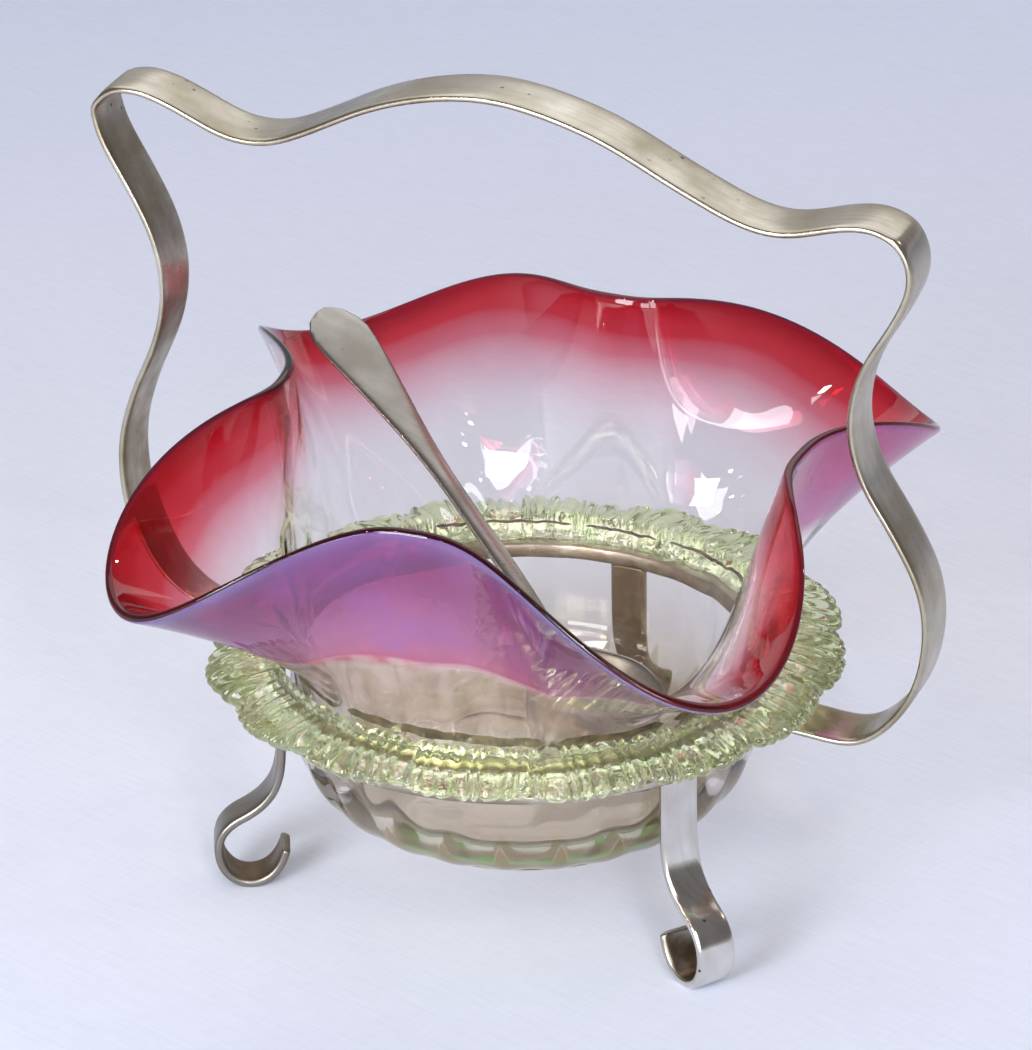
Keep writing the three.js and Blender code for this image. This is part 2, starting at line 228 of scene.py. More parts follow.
def set_attribute(obj, name, values):
    layer = obj.data.attributes.new(name, "FLOAT", "POINT")
    layer.data.foreach_set("value", np.asarray(values, dtype=np.float32).ravel())


# Node helpers

def add(tree, kind, inputs=None, **settings):
    """A node with its settings, its inputs set to values or linked to sockets."""
    node = tree.nodes.new(kind)
    for key, value in settings.items():
        setattr(node, key, value)
    for key, value in (inputs or {}).items():
        socket = node.inputs[key]
        if isinstance(value, bpy.types.NodeSocket):
            tree.links.new(value, socket)
        else:
            socket.default_value = value
    return node


def new_material(name):
    material = bpy.data.materials.new(name)
    material.use_nodes = True
    material.node_tree.nodes.clear()
    return material, material.node_tree


def ramp(tree, factor, stops):
    """A colour from a list of (place, colour) stops."""
    node = add(tree, "ShaderNodeValToRGB", {0: factor})
    elements = node.color_ramp.elements
    while len(elements) < len(stops):
        elements.new(0.5)
    for element, (place, colour) in zip(elements, stops):
        element.position = place
        element.color = (*colour, 1)
    return node.outputs[0]


def mix_colour(tree, factor, a, b):
    # The Mix node's sockets for the factor and two colours are 0, 6 and 7, and its colour is output 2
    return add(tree, "ShaderNodeMix", {0: factor, 6: a, 7: b}, data_type="RGBA").outputs[2]


def attribute(tree, name):
    return add(tree, "ShaderNodeAttribute", attribute_name=name).outputs["Fac"]


def maths(tree, operation, *values, clamp=False):
    node = add(tree, "ShaderNodeMath", dict(enumerate(values)), operation=operation)
    node.use_clamp = clamp
    return node.outputs[0]


def spread(tree, value, low, high, to_low, to_high):
    """The value moved from the range low to high into the range to_low to to_high."""
    return add(tree, "ShaderNodeMapRange", {
        "Value": value, "From Min": low, "From Max": high, "To Min": to_low, "To Max": to_high,
    }).outputs["Result"]


def object_place(tree):
    return add(tree, "ShaderNodeTexCoord").outputs["Object"]


def grain(tree, scale, detail=4, longer=(1, 1, 1), turn=0):
    """Noise with about `scale` lumps a metre, `longer` times as long along x, y and z,
    its x turned by `turn`."""
    place = object_place(tree)
    if longer != (1, 1, 1):
        place = add(tree, "ShaderNodeMapping", {
            "Vector": place, "Rotation": (0, 0, turn), "Scale": longer,
        }, vector_type="TEXTURE").outputs[0]
    return add(tree, "ShaderNodeTexNoise", {
        "Vector": place, "Scale": scale, "Detail": detail,
    }).outputs["Fac"]


def height_above(tree, level):
    height = add(tree, "ShaderNodeSeparateXYZ", {0: object_place(tree)}).outputs["Z"]
    return maths(tree, "SUBTRACT", height, level)


def distance_away(tree, place):
    """How far a place lies along the level way from the camera's side."""
    along = add(tree, "ShaderNodeVectorMath", {0: place, 1: (*LEVEL_AWAY, 0)}, operation="DOT_PRODUCT")
    return along.outputs["Value"]


# The plated metal

TARNISH_AND_SHADE_BROWN = (0.17, 0.12, 0.075)
PIT_COLOUR = (0.05, 0.042, 0.035, 1)
PITS_PER_METRE = 330
PLATE_RELIEF = 0.15 * MM

# Each finish: its tint, the tone of its clouds, its brown for patina and painted shade, its roughness
# and its share of pits
PLATES = {
    "aged_plate": ((0.62, 0.575, 0.49), (0.36, 0.31, 0.22), TARNISH_AND_SHADE_BROWN, 0.24, 0.9),
    "leg_plate": ((0.8, 0.78, 0.75), (0.5, 0.46, 0.4), TARNISH_AND_SHADE_BROWN, 0.18, 1.0),
    "dark_leg_plate": ((0.32, 0.3, 0.27), (0.22, 0.19, 0.155), TARNISH_AND_SHADE_BROWN, 0.36, 0.9),
    "shaded_brown_leg_plate": ((0.34, 0.28, 0.17), (0.2, 0.16, 0.09), TARNISH_AND_SHADE_BROWN, 0.28, 0.9),
    "solder_plate": ((0.45, 0.42, 0.36), (0.3, 0.27, 0.22), (0.12, 0.08, 0.05), 0.42, 1.0),
    "spoon_plate": ((0.42, 0.39, 0.35), (0.28, 0.255, 0.22), (0.2, 0.16, 0.11), 0.26, 0.2),
}


def plate(name):
    """Aged silver plate: cloudy tint, brown patina in hollows and painted shade, small dark pits."""
    tint, dark, brown, rough, pits = PLATES[name]
    material, tree = new_material(name)
    cloud = grain(tree, 70, 5)
    tarnish_and_shade_amount = tarnish_and_shade_cover(tree)
    pit = maths(tree, "MULTIPLY", pit_places(tree), pits)
    colour = mix_colour(tree, spread(tree, cloud, 0.35, 0.68, 0, 1), (*tint, 1), (*dark, 1))
    streaks = grain(tree, 900, 2, longer=(20, 1, 20))
    colour = mix_colour(tree, spread(tree, streaks, 0.45, 0.75, 0, 0.4), colour, (*dark, 1))
    colour = mix_colour(tree, tarnish_and_shade_amount, colour, (*brown, 1))
    colour = mix_colour(tree, pit, colour, PIT_COLOUR)
    roughness = spread(tree, cloud, 0.3, 0.7, rough - 0.05, rough + 0.07)
    roughness = maths(tree, "ADD", roughness, maths(tree, "MULTIPLY", tarnish_and_shade_amount, 0.18))
    shader = add(tree, "ShaderNodeBsdfPrincipled", {
        "Base Color": colour, "Metallic": 1, "Roughness": roughness, "Normal": plate_bump(tree, pit),
    })
    add(tree, "ShaderNodeOutputMaterial", {"Surface": shader.outputs[0]})
    return material


def tarnish_and_shade_cover(tree):
    """How much brown lies on the metal: its patina and painted shade, made patchy."""
    patchy = spread(tree, grain(tree, 220, 6), 0.3, 0.62, 0.7, 1.5)
    return maths(tree, "MULTIPLY", attribute(tree, "tarnish_and_shade"), patchy, clamp=True)


def pit_places(tree):
    """1 in small round pits that lie in groups."""
    spots = add(tree, "ShaderNodeTexVoronoi", {
        "Vector": object_place(tree), "Scale": PITS_PER_METRE,
    }).outputs["Distance"]
    group = spread(tree, grain(tree, 150, 2), 0.53, 0.64, 0, 1)
    return maths(tree, "MULTIPLY", spread(tree, spots, 0.16, 0.1, 0, 1), group, clamp=True)


def plate_bump(tree, pit):
    """Fine scratches, the pits and faint dents."""
    fine = maths(tree, "MULTIPLY", grain(tree, 900, 3), 0.5)
    height = maths(tree, "ADD", fine, maths(tree, "MULTIPLY", pit, -1.5))
    height = maths(tree, "ADD", height, maths(tree, "MULTIPLY", grain(tree, 110, 2), 1.2))
    return add(tree, "ShaderNodeBump", {
        "Strength": 0.16, "Distance": PLATE_RELIEF, "Height": height,
    }).outputs[0]


# The glass. Its colours are those of a wall's surface, and its shades what it leaves of lamp light

GLASS_IOR = 1.5
GLASS_SHADE = (0.84, 0.84, 0.87, 1)
STRAW = (0.7, 0.61, 0.46, 1)
LIP_RUBY = (0.16, 0.001, 0.004, 1)
RUBY_STOPS = [
    (0.0, (0.97, 0.95, 0.93)), (0.4, (0.97, 0.91, 0.92)), (0.52, (0.95, 0.72, 0.77)),
    (0.64, (0.88, 0.36, 0.43)), (0.76, (0.7, 0.05, 0.08)), (0.86, (0.55, 0.003, 0.006)),
    (1.0, (0.4, 0.0003, 0.0008)),
]
# The lilac coat by its share of the flare; its last stops, violet to lavender-blue at the lip, are a
# painted sheen
COAT_AND_SHEEN_STOPS = [
    (0.3, (0.4, 0.08, 0.15)), (0.38, (0.38, 0.11, 0.23)), (0.5, (0.33, 0.1, 0.24)),
    (0.72, (0.23, 0.06, 0.18)), (0.9, (0.21, 0.055, 0.18)), (0.955, (0.2, 0.1, 0.27)),
    (1.0, (0.24, 0.18, 0.42)),
]
COAT_LINE_RED = (0.3, 0.02, 0.07, 1)
# Pink painted light on the right fold
FOLD_LIGHT_PINK = (0.66, 0.1, 0.41, 1)
# Bluish clouds of painted reflection on the coat
REFLECTION_BLUE = (0.24, 0.1, 0.36, 1)
CLEAR_WALL = (0.97, 0.93, 0.93, 1)
MILKY_WALL = (0.62, 0.48, 0.45, 1)
FOOT_BROWN = (0.19, 0.115, 0.03, 1)
BASE_GREEN = (0.2, 0.46, 0.06, 1)
# The groove's dark band: old dirt with painted shade of the groove
GROOVE_DIRT_SHADE_DARK = (0.03, 0.02, 0.008, 1)
GROOVE_DIRT_SHADE_PALE = (0.11, 0.075, 0.035, 1)

# How far the colours' edges waver, as shares of the flare
RUBY_WAVER = 0.05
COAT_WAVER = 0.03


def clear_glass(tree, colour, shade, open_share, ior=GLASS_IOR, normal=None):
    """Glass that lets lamp light straight through, tinted by `shade`. What isn't
    `open_share` of it is milky."""
    inputs = {
        "Base Color": colour, "Transmission Weight": open_share, "Roughness": 0.0, "IOR": ior,
    }
    if normal is not None:
        inputs["Normal"] = normal
    glass = add(tree, "ShaderNodeBsdfPrincipled", inputs)
    through = add(tree, "ShaderNodeBsdfTransparent", {"Color": shade})
    to_lamp = add(tree, "ShaderNodeLightPath").outputs["Is Shadow Ray"]
    both = add(tree, "ShaderNodeMixShader", {0: to_lamp, 1: glass.outputs[0], 2: through.outputs[0]})
    add(tree, "ShaderNodeOutputMaterial", {"Surface": both.outputs[0]})


def wavy_share(tree, name, amount):
    """How far up the flare a point is, 0 at the waist and 1 at the lip, blurred by noise."""
    waver = spread(tree, grain(tree, 38, 2), 0, 1, -amount, amount)
    return maths(tree, "ADD", attribute(tree, name), waver)


def ruby_inside():
    """Clear glass that turns ruby towards the lip."""
    material, tree = new_material("cranberry_inside")
    colour = ramp(tree, wavy_share(tree, "ruby_share", RUBY_WAVER), RUBY_STOPS)
    colour = mix_colour(tree, attribute(tree, "lip_share"), colour, LIP_RUBY)
    colour = mix_colour(tree, attribute(tree, "low_share"), colour, STRAW)
    haze = spread(tree, grain(tree, 60, 4, longer=(1, 1, 2.5)), 0.3, 0.7, 0.05, 0.5)
    haze = maths(tree, "MULTIPLY", haze, attribute(tree, "haze_share"))
    clear_glass(tree, colour, GLASS_SHADE, maths(tree, "SUBTRACT", 1.0, haze))
    return material


def lilac_outside():
    """The outer coat: milky lilac where it lies, clear straw glass below it."""
    material, tree = new_material("cranberry_outside")
    share = wavy_share(tree, "rim_share", COAT_WAVER)
    coat, line = coat_cover(tree, share)
    low = attribute(tree, "low_share")
    body = maths(tree, "MULTIPLY", attribute(tree, "body_share"), maths(tree, "SUBTRACT", 1.0, coat))
    foot, base = foot_stain(tree)
    dirt_and_shade = groove_dirt_and_shade(tree)
    colour = clear_colour(tree, body, low, foot, base)
    colour = mix_colour(tree, coat, colour, coat_colour(tree, share))
    colour = mix_colour(tree, line, colour, COAT_LINE_RED)
    # Old dirt and painted shade in the groove behind the frill
    colour = mix_colour(tree, dirt_and_shade, colour, groove_dirt_and_shade_colour(tree))
    streaks = spread(tree, grain(tree, 300, 3, longer=(1, 1, 7)), 0.3, 0.7, 0.3, 1.1)
    streaky_body = maths(tree, "MULTIPLY", body, streaks)
    milky = maths(tree, "MULTIPLY", coat, spread(tree, grain(tree, 55, 3), 0.3, 0.7, 0.42, 0.58))
    for cover, amount in ((low, 0.04), (foot, 0.6), (base, 0.75), (line, 0.3), (streaky_body, 0.28)):
        milky = maths(tree, "ADD", milky, maths(tree, "MULTIPLY", cover, amount))
    milky = maths(tree, "MAXIMUM", milky, dirt_and_shade)
    clear_glass(tree, colour, GLASS_SHADE, maths(tree, "SUBTRACT", 1.0, milky, clamp=True))
    return material


def coat_cover(tree, share):
    """How much lilac coat covers the outside, and the red line along its lower edge."""
    start = attribute(tree, "coat_start")
    blur = attribute(tree, "coat_blur")
    low = maths(tree, "SUBTRACT", start, blur)
    high = maths(tree, "ADD", start, blur)
    coat = spread(tree, share, low, high, 0, 1)
    apart = maths(tree, "ABSOLUTE", maths(tree, "SUBTRACT", share, start))
    line = spread(tree, apart, 0.01, 0.05, 1, 0)
    patchy = spread(tree, grain(tree, 140, 3), 0.42, 0.62, 0.0, 0.8)
    line = maths(tree, "MULTIPLY", line, patchy)
    return coat, maths(tree, "MULTIPLY", line, attribute(tree, "coat_line"))


def coat_colour(tree, share):
    """Lilac with a painted sheen of violet to lavender-blue at the lip, pink painted light on the
    right fold, and bluish clouds of painted reflection.
    """
    colour = mix_colour(tree, attribute(tree, "fold_light_share"), ramp(tree, share, COAT_AND_SHEEN_STOPS), FOLD_LIGHT_PINK)
    bluish = spread(tree, grain(tree, 42, 3), 0.5, 0.68, 0, 0.55)
    return mix_colour(tree, bluish, colour, REFLECTION_BLUE)


def clear_colour(tree, body, low, foot, base):
    """The colour of the outside below the coat."""
    colour = mix_colour(tree, body, CLEAR_WALL, MILKY_WALL)
    colour = mix_colour(tree, low, colour, STRAW)
    colour = mix_colour(tree, foot, colour, FOOT_BROWN)
    return mix_colour(tree, base, colour, BASE_GREEN)


def groove_dirt_and_shade_colour(tree):
    # A patchy mix of the dark and the pale tone of dirt and painted shade
    dirt = spread(tree, grain(tree, 330, 4), 0.35, 0.65, 0, 1)
    return mix_colour(tree, dirt, GROOVE_DIRT_SHADE_DARK, GROOVE_DIRT_SHADE_PALE)


STAIN_WAVER = 0.7 * MM
STAIN_TOP = 8 * MM
STAIN_SPIKE_TOP = 14 * MM
STAIN_FADE = 2 * MM
SPIKE_SHARPNESS = 9.0
GREEN_START = (1.5 * MM, 2.1 * MM)
GREEN_END = (3.5 * MM, 4.3 * MM)


def foot_stain(tree):
    """Two bands low on the bowl: green near its lower edge, and above it a
    brown band with a spike between every two optic ribs."""
    waver = spread(tree, grain(tree, 150, 2), 0.3, 0.7, -STAIN_WAVER, STAIN_WAVER)
    rise = maths(tree, "ADD", height_above(tree, base_height), waver)
    spike = maths(tree, "POWER", attribute(tree, "rib_gap"), SPIKE_SHARPNESS)
    top = spread(tree, spike, 0, 1, STAIN_TOP, STAIN_SPIKE_TOP)
    brown = spread(tree, maths(tree, "SUBTRACT", top, rise), 0, STAIN_FADE, 0, 0.85)
    started = spread(tree, rise, *GREEN_START, 0, 1)
    going_on = spread(tree, rise, *GREEN_END, 1, 0)
    green = maths(tree, "MULTIPLY", started, going_on)
    green = maths(tree, "MULTIPLY", green, attribute(tree, "green_share"))
    return maths(tree, "MULTIPLY", brown, attribute(tree, "front_share")), green


# The band of dirt and painted shade in the groove behind the frill's crest
DIRT_AND_SHADE_DEPTH = 0.5 * MM
DIRT_AND_SHADE_WAVER = 0.35 * MM
DIRT_AND_SHADE_FADE = 0.12 * MM
DIRT_AND_SHADE_BEHIND_MM = 0.5
DIRT_AND_SHADE_MORE_IN_FRONT_MM = 0.75


def groove_dirt_and_shade(tree):
    """1 in the groove behind the frill's crest, where the glass is darkened: old dirt there and
    painted shade in the groove.
    """
    waver = spread(tree, grain(tree, 260, 3), 0.3, 0.7, -DIRT_AND_SHADE_WAVER, DIRT_AND_SHADE_WAVER)
    level = maths(tree, "ADD", height_above(tree, collar_top - DIRT_AND_SHADE_DEPTH), waver)
    apart = maths(tree, "ABSOLUTE", level)
    inside = maths(tree, "SUBTRACT", attribute(tree, "groove_half"), apart)
    return spread(tree, inside, 0.0, DIRT_AND_SHADE_FADE, 0, 0.97)


FRILL_IOR = 1.48
FRILL_RELIEF = 0.22 * MM
FRILL_SHADE = (0.84, 0.88, 0.76, 1)
FRILL_PALE = (0.95, 0.94, 0.75, 1)
FRILL_GREEN = (0.76, 0.9, 0.5, 1)
FRILL_AMBER = (0.68, 0.52, 0.3, 1)
FRILL_VALLEY_SHADE = (0.42, 0.6, 0.16, 1)


def green_frill():
    """Pale glass with green clouds and amber specks, and painted shade of deeper green between the
    ribs.
    """
    material, tree = new_material("pale_green_glass")
    clouds = spread(tree, grain(tree, 120, 3), 0.35, 0.65, 0, 1)
    colour = mix_colour(tree, clouds, FRILL_PALE, FRILL_GREEN)
    warm = spread(tree, grain(tree, 260, 2), 0.56, 0.7, 0, 0.3)
    colour = mix_colour(tree, warm, colour, FRILL_AMBER)
    colour = mix_colour(tree, attribute(tree, "valley_shade"), colour, FRILL_VALLEY_SHADE)
    bump = add(tree, "ShaderNodeBump", {
        "Strength": 0.5, "Distance": FRILL_RELIEF, "Height": grain(tree, 700, 2),
    })
    clear_glass(tree, colour, FRILL_SHADE, 0.98, ior=FRILL_IOR, normal=bump.outputs[0])
    return material


# Bridges of glass between the dish and the frill's crest, over an open groove

BRIDGES = 10
BRIDGE_WIDTH = 1.4 * MM
GROOVE = 1.9 * MM
bridge_shift = np.random.default_rng(11).uniform(-0.3, 0.3, BRIDGES)
bridge_places = TURN * (np.arange(BRIDGES) + bridge_shift) / BRIDGES


def bridge_cover(angles):
    """1 where the frill touches the dish, falling to 0 over the groove between them."""
    apart = np.abs((angles[:, None] - bridge_places[None, :] + math.pi) % TURN - math.pi)
    return np.exp(-(apart.min(axis=1) * body_radius / BRIDGE_WIDTH) ** 2)


def dirt_and_shade_half(angles):
    """Half the height of the dirt and painted shade in the groove: thick in front, a thin line behind.
    """
    front = smoothstep(0.2, 0.8, (1 + np.cos(angles - FRONT_ANGLE)) / 2)
    half_mm = DIRT_AND_SHADE_BEHIND_MM + DIRT_AND_SHADE_MORE_IN_FRONT_MM * front
    return (1 - bridge_cover(angles)) ** 2 * half_mm * MM - DIRT_AND_SHADE_FADE


# Where the colours lie on the dish. Each span is in degrees: from the camera's side to
# its middle, half its width, and its soft edge.

# The coat's spans on the front and on the right fold, where it reaches low as a painted sheen
COAT_SHEEN_FRONT = (-22, 26, 22)
COAT_SHEEN_FOLD = (85, 15, 12)
RUBY_LEFT_LOBE = (-72, 14, 16)
RUBY_RIGHT_LOBE = (40, 12, 20)
HAZE_RIGHT = (38, 16, 16)
HAZE_LEFT = (-66, 10, 12)
BODY_FRONT = (-12, 40, 30)
BROWN_FRONT = (0, 75, 40)
GREEN_FRONT = (0, 32, 28)

# Where the coat begins, as a share of the flare, and how much lower in those two spans, where its low
# reach is a painted sheen
COAT_START = 0.96
COAT_SHEEN_FRONT_LOWER = 0.63
COAT_SHEEN_FOLD_LOWER = 0.48

# The share of the base's radius beyond which the glass is wall
WALLS_START = 0.98


def angle_window(angles, turn_deg, half_deg, soft_deg):
    """1 within a span of angles round one that lies turn_deg from the camera's side."""
    middle = FRONT_ANGLE + math.radians(turn_deg)
    apart = np.abs((angles - middle + math.pi) % TURN - math.pi)
    return 1 - smoothstep(math.radians(half_deg), math.radians(half_deg + soft_deg), apart)


def coat_places(angles):
    """The share of the flare where the coat begins, how softly, where it ends in a red
    line, and where the right fold is. The coat begins low on the front of the dish and
    on that fold, a painted sheen there, and near the lip elsewhere."""
    front = angle_window(angles, *COAT_SHEEN_FRONT)
    fold = angle_window(angles, *COAT_SHEEN_FOLD)
    wave = 0.015 * np.sin(5 * angles) + 0.01 * np.sin(13 * angles + 1)
    return {
        "coat_start": COAT_START - COAT_SHEEN_FRONT_LOWER * front - COAT_SHEEN_FOLD_LOWER * fold + wave,
        "coat_blur": 0.08 - 0.055 * front - 0.03 * fold,
        "coat_line": np.maximum(front, 0.7 * fold),
        # How much pink painted light the right fold gets
        "fold_light_share": 0.7 * fold,
    }


def ruby_shift(angles):
    """How much farther down the flare the ruby reaches: more in the left lobe, less
    in the right one."""
    left = angle_window(angles, *RUBY_LEFT_LOBE)
    right = angle_window(angles, *RUBY_RIGHT_LOBE)
    return 0.07 * left - 0.02 * right


def dish_attributes(angles, section, shares, on_lip):
    """What the dish's materials read at each point of its sections."""
    radius = section[..., 0]
    rise = section[..., 1] - base_height
    walls = radius > WALLS_START * base_radius
    brown = 0.5 + 0.5 * angle_window(angles, *BROWN_FRONT)
    green = 0.15 + 0.85 * angle_window(angles, *GREEN_FRONT)
    haze = angle_window(angles, *HAZE_RIGHT) + 0.5 * angle_window(angles, *HAZE_LEFT)
    body = angle_window(angles, *BODY_FRONT)[:, None] * smoothstep(0, 0.05, shares)
    values = {
        "rim_share": shares,
        "lip_share": on_lip,
        "low_share": 1 - smoothstep(0, collar_seat - base_height, rise),
        "front_share": walls * brown[:, None],
        "green_share": walls * green[:, None],
        "groove_half": dirt_and_shade_half(angles)[:, None],
        "ruby_share": shares + ruby_shift(angles)[:, None],
        "haze_share": haze[:, None] * smoothstep(0.4, 0.65, shares),
        "body_share": body * (1 - smoothstep(0.4, 0.7, shares)),
        "rib_gap": (1 + np.cos(OPTIC_RIBS * angles))[:, None] / 2,
    }
    for name, at_angles in coat_places(angles).items():
        values[name] = at_angles[:, None]
    return {name: np.broadcast_to(value, shares.shape) for name, value in values.items()}


# The glass dish

DISH_TURNS = 336
OPTIC_RIBS = 24
OPTIC_RIB_DEPTH = 0.4 * MM
BASE_EXTRA = 0.9 * MM
FLOOR_CORNER = 1.5 * MM
LIP_CLEAR = 1 * MM
ANGLE_SLACK = 0.01
FLARE_OUT_SHARE = 0.4
FLARE_UP_SHARE = 0.52
FLARE_STEPS = 30
BODY_STEPS = 4
LIP_STEPS = 9
SOFTEN_PASSES = 14
SOFTEN_BEFORE = 4
SOFTEN_AFTER = 6

# The bowl's outside, as shares of its way out from the base and up to the waist
BODY_SHARES = [
    (-0.03, 0), (0, 0.015), (0.4, 0.09), (0.7, 0.19), (0.9, 0.33), (0.985, 0.5), (1, 0.7), (1, 0.9),
]

# The underside, as shares of its radius, each with its lift in millimetres
UNDERSIDE = [(0, 0.7), (0.5, 0.7), (0.86, 0.5), (0.95, 0.08)]

# The corner inside, as shares of the inner wall's radius and of the drop to the floor
CORNER_SHARES = [(0.96, 0.45), (0.91, 0.75), (0.84, 0.92), (0.75, 1), (0.5, 1), (0.25, 1), (0, 1)]


def lip_line(count):
    """Radius and height of the lip's crown at even angles: the section's point
    that lies farthest from the waist."""
    pts = dish_points[reach(dish_points) > body_radius + LIP_CLEAR]
    sorted_turns = np.sort(np.mod(bearing(pts) + ANGLE_SLACK, TURN))
    turns = 1 + np.count_nonzero(np.diff(sorted_turns) > 2 * ANGLE_SLACK)
    index = np.round(bearing(pts) / TURN * turns).astype(int) % turns
    away = np.hypot(reach(pts) - body_radius, pts[:, 2] - WAIST_HEIGHT)
    crowns = [np.flatnonzero(index == i)[away[index == i].argmax()] for i in range(turns)]
    return resample(reach(pts)[crowns], count), resample(pts[crowns, 2], count)


def flare_curve(lip_radius, lip_height):
    """Points of the flare's outside at one angle, from the waist to the lip's edge."""
    waist = np.array([body_radius - WAIST_DRAW, WAIST_HEIGHT])
    lip = np.array([lip_radius, lip_height])
    bend = waist + np.array([FLARE_OUT_SHARE, FLARE_UP_SHARE]) * (lip - waist)
    along = (lip - bend) / np.linalg.norm(lip - bend)
    lip = lip - along * LIP_WALL / 2
    lip = lip + np.array([along[1], -along[0]]) * LIP_WALL / 2
    steps = np.linspace(0, 1, FLARE_STEPS)[:, None]
    return (1 - steps) ** 2 * waist + 2 * steps * (1 - steps) * bend + steps ** 2 * lip


def outer_wall():
    """The outside's radius and height at each angle, before its ribs, and how many of
    its columns lie below the waist."""
    body = catmull([
        (base_radius + out * (body_radius - base_radius),
         base_height + up * (WAIST_HEIGHT - base_height))
        for out, up in BODY_SHARES
    ], BODY_STEPS)
    outer = np.array([np.vstack([body, flare_curve(r, z)]) for r, z in zip(*lip_line(DISH_TURNS))])
    return soften_waist(outer, len(body)), len(body)


def soften_waist(outer, waist):
    """Rounds the corner between body and flare."""
    out = outer.copy()
    first, end = waist - SOFTEN_BEFORE, waist + SOFTEN_AFTER
    for _ in range(SOFTEN_PASSES):
        part = out[:, first - 1:end + 1]
        out[:, first:end] = (part[:, :-2] + 2 * part[:, 1:-1] + part[:, 2:]) / 4
    return out


def dish_walls(angles):
    """The outer wall with its optic ribs and the inner wall, which runs down from the
    lip, and each one's share of the flare."""
    outer, waist = outer_wall()
    columns = outer.shape[1]
    share = np.clip((np.arange(columns) - waist) / (columns - 1 - waist), 0, 1)
    share = np.broadcast_to(share, outer.shape[:2])
    normals = section_normals(outer)
    height = (outer[..., 1] - base_height) / (WAIST_HEIGHT - base_height)
    wave = (1 - np.cos(OPTIC_RIBS * angles))[:, None] / 2
    rib = OPTIC_RIB_DEPTH * wave * smoothstep(0.0, 0.08, height) * (1 - smoothstep(0.9, 1.9, height))
    thick = WALL + (LIP_WALL - WALL) * share + BASE_EXTRA * (1 - smoothstep(0.1, 0.5, height))
    inner = outer + normals * thick[..., None]
    outer = outer + normals * rib[..., None]
    keep = inner[0, :, 1] > floor_height + FLOOR_CORNER
    return outer, share, inner[:, keep][:, ::-1], share[:, keep][:, ::-1]


def lip_round(outer_edge, inner_edge):
    """A half round from the outer edge of the lip over to the inner edge."""
    middle = (outer_edge + inner_edge) / 2
    side = (outer_edge - inner_edge) / 2
    onward = np.stack([-side[:, 1], side[:, 0]], axis=-1)
    turns = np.linspace(0, math.pi, LIP_STEPS)[1:-1]
    return np.stack([middle + side * math.cos(t) + onward * math.sin(t) for t in turns], axis=1)


def underside(radius):
    """Rows of points under the base, from its middle out to the given radius."""
    rows = [
        np.stack([radius * out, np.full_like(radius, base_height + lift * MM)], axis=-1)
        for out, lift in UNDERSIDE
    ]
    return np.stack(rows, axis=1)


def floor_corner(start):
    """From the last point of the inner wall round the corner to the floor's middle."""
    drop = start[:, 1] - floor_height
    rows = [
        np.stack([start[:, 0] * out, start[:, 1] - drop * down], axis=-1)
        for out, down in CORNER_SHARES
    ]
    return np.stack(rows, axis=1)


def dish_section(angles):
    """The closed section at each angle, from the middle of the underside over the lip to
    the middle of the floor, the share of the flare of each of its points, and the first
    and last column of the lip's round."""
    outer, outer_share, inner, inner_share = dish_walls(angles)
    lip = lip_round(outer[:, -1], inner[:, 0])
    under = underside(outer[:, 0, 0])
    corner = floor_corner(inner[:, -1])
    parts = [(under, 0), (outer, outer_share), (lip, 1), (inner, inner_share), (corner, 0)]
    section = np.concatenate([part for part, _ in parts], axis=1)
    shares = np.concatenate([np.broadcast_to(share, part.shape[:2]) for part, share in parts], axis=1)
    lip_start = under.shape[1] + outer.shape[1]
    return section, shares, lip_start, lip_start + lip.shape[1]


def glass_dish():
    angles = TURN * np.arange(DISH_TURNS) / DISH_TURNS
    section, shares, lip_start, lip_end = dish_section(angles)
    columns = shares.shape[1]
    on_lip = np.zeros(shares.shape)
    on_lip[:, lip_start:lip_end] = 1
    grid = turned(np.broadcast_to(angles[:, None], shares.shape), section[..., 0], section[..., 1])
    obj = grid_piece("ruffled_glass", grid, False, "dish")
    for name, values in dish_attributes(angles, section, shares, on_lip).items():
        set_attribute(obj, name, values)
    for i, face in enumerate(obj.data.polygons):
        face.material_index = 1 if i % (columns - 1) <= lip_start else 0
    face_outwards(obj.data, DISH_MERGE_DISTANCE)
    obj.data.shade_smooth()
    obj.data.materials.append(ruby_inside())
    obj.data.materials.append(lilac_outside())
    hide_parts("glass_dish")


# The applied frill

LOBES = 16
RIBS_PER_LOBE = 8
STEPS_PER_RIB = 8
SECTION_STEPS = 3
SCALLOP = 3.0 * MM
LOBE_SIZES_MM = (-0.6, 0.5)
LOBE_TILT = 1.5 * MM
FRILL_GAP = 0.3 * MM
RIB_HEIGHT = 1.3 * MM
RIB_SIZES = (0.75, 1.2)
RIB_ROUNDNESS = 0.75
RIB_MEAN = 0.75
WOBBLE_MM = 0.35
WOBBLES_PER_METRE = 160

# The frill's section: out from its crest (-1 at the dish, 1 at its edge) and up from its seat
FRILL_SHARES = [
    (-1, 0.28), (-0.5, 0.2), (0.12, 0.0), (0.3, 0.02), (0.62, 0.1), (0.9, 0.24), (1, 0.42),
    (0.96, 0.58), (0.8, 0.74), (0.52, 0.88), (0.24, 0.97), (0.02, 1.0), (-0.24, 0.8), (-0.6, 0.5),
]

# How high the ribs stand at each of those points
RIB_SHARES = [0, 0, 0, 0.1, 0.4, 0.8, 1, 1, 0.9, 0.8, 0.8, 0.9, 0.8, 0.2]


